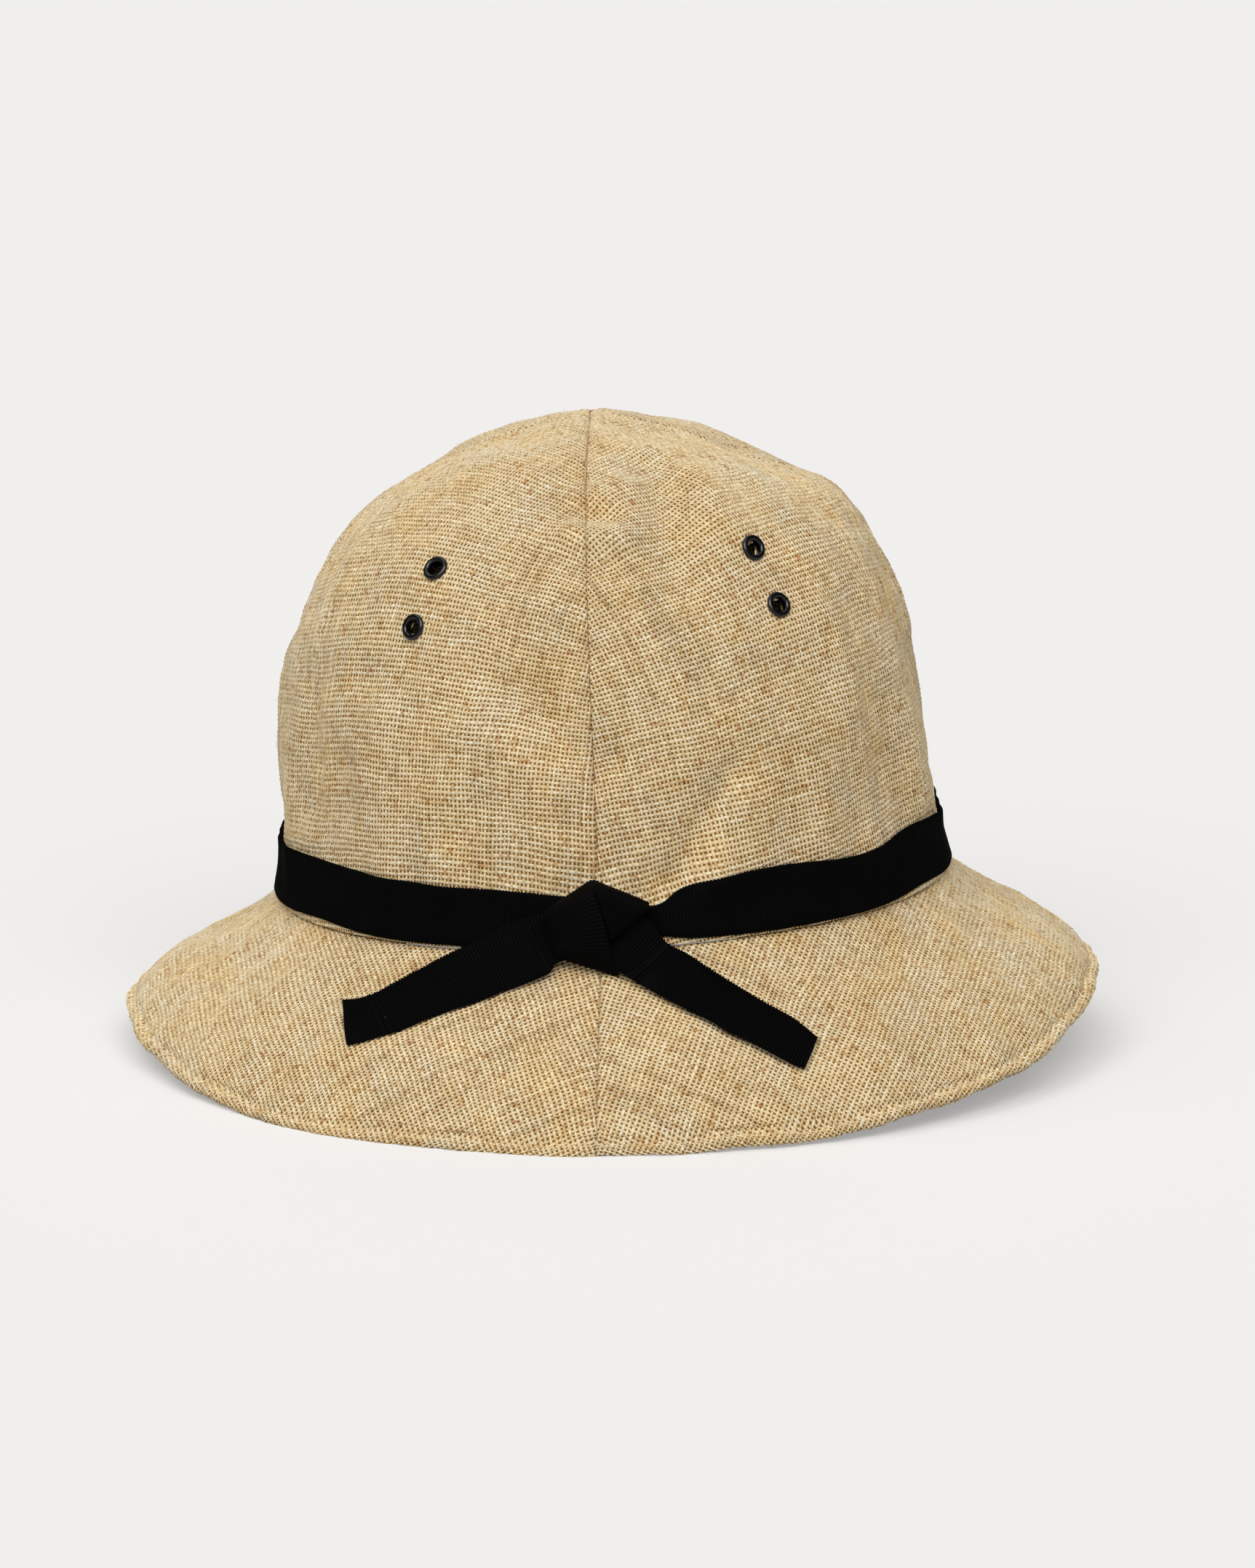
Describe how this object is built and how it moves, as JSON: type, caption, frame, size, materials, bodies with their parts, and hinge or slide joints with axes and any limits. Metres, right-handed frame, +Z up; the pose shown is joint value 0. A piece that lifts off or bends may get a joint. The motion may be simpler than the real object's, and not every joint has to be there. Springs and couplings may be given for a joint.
{
  "type": "cloche hat",
  "caption": "Cloche hat of open-weave natural cloth: domed crown sewn from gores, black metal eyelets, sloping brim with a rolled edge, and a black grosgrain ribbon knotted with short ends.",
  "frame": {"origin": "on the surface the brim rests on, under the middle of the hat's box", "axes": "+Z up through the crown, -Y towards the seam with the ribbon's knot, +X to the right of it"},
  "size_m": [0.268, 0.2668, 0.1743],
  "materials": {
    "cloth": "open plain weave of slubby cream and tan threads",
    "grosgrain": "matte ribbed ribbon",
    "enamel": "glossy black enamel on metal"
  },
  "bodies": {
    "root": {"crown_panel_near_right": "cloth", "crown_panel_far_right": "cloth", "crown_panel_far_left": "cloth", "crown_panel_near_left": "cloth", "brim_left": "cloth", "brim_right": "cloth", "hatband": "grosgrain", "ribbon_knot": "grosgrain", "ribbon_tail_left": "grosgrain", "ribbon_tail_right": "grosgrain", "eyelet_near_right_upper": "enamel", "eyelet_near_right_lower": "enamel", "eyelet_far_right_upper": "enamel", "eyelet_far_right_lower": "enamel", "eyelet_far_left_upper": "enamel", "eyelet_far_left_lower": "enamel", "eyelet_near_left_upper": "enamel", "eyelet_near_left_lower": "enamel"}
  },
  "joints": []
}
